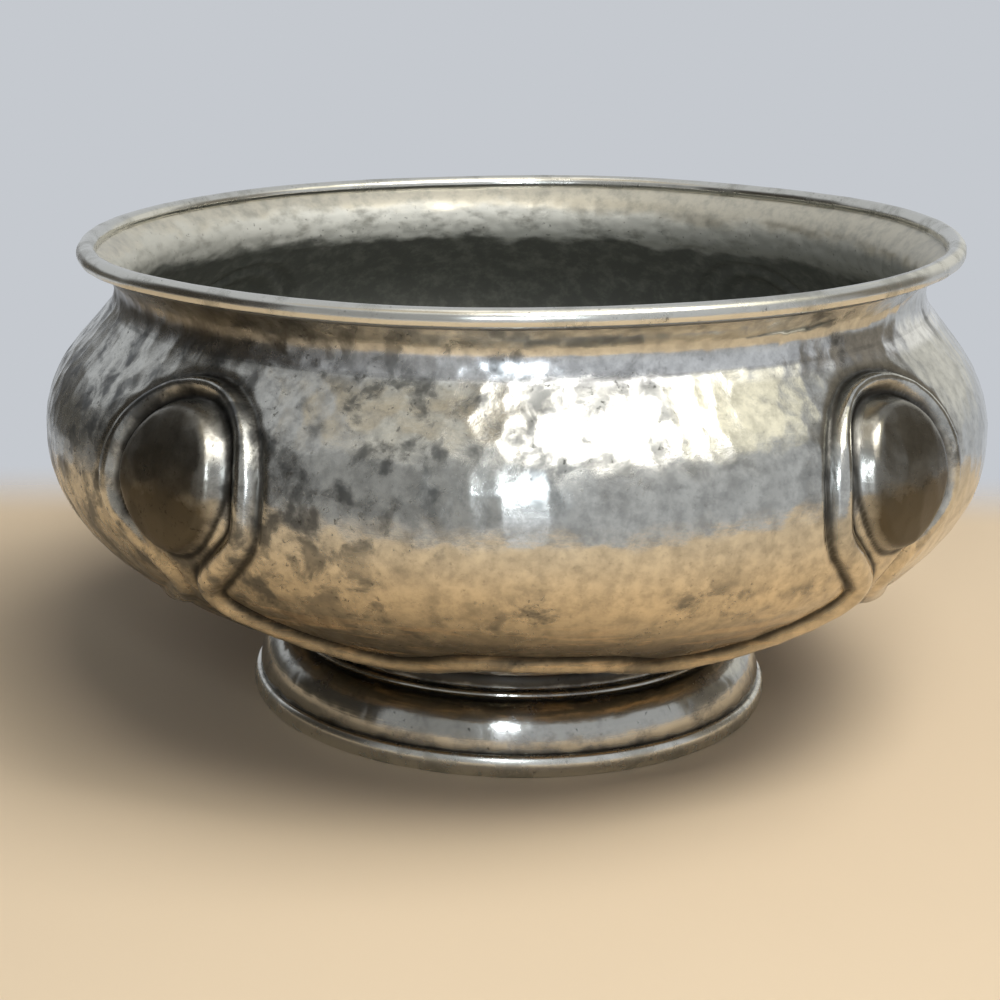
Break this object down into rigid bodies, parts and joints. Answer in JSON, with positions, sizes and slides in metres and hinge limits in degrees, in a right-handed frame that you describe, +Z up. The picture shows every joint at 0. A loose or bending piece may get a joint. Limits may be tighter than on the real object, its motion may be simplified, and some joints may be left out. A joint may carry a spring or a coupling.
{
  "type": "footed bowl",
  "caption": "Squat round pewter bowl with a bulging belly, raised chased bosses, a short neck with a beaded flared lip, and a low spread foot.",
  "frame": {"origin": "centre of the circle that the foot stands on, on the bowl's axis", "axes": "+Z up along the bowl's axis; -Y faces the middle of a plain panel, so the four bosses lie about halfway between X and Y, a little nearer to Y"},
  "size_m": [0.236, 0.236, 0.1203],
  "materials": {
    "body_pewter": "polished",
    "wire_pewter": "polished",
    "foot_pewter": "polished",
    "solder": "satin"
  },
  "bodies": {
    "root": {"bowl_body": "body_pewter", "rim_wire": "wire_pewter", "rim_solder": "solder", "foot_ring": "foot_pewter", "foot_solder": "solder", "foot_edge_wire": "wire_pewter", "foot_edge_solder": "solder"}
  },
  "joints": []
}
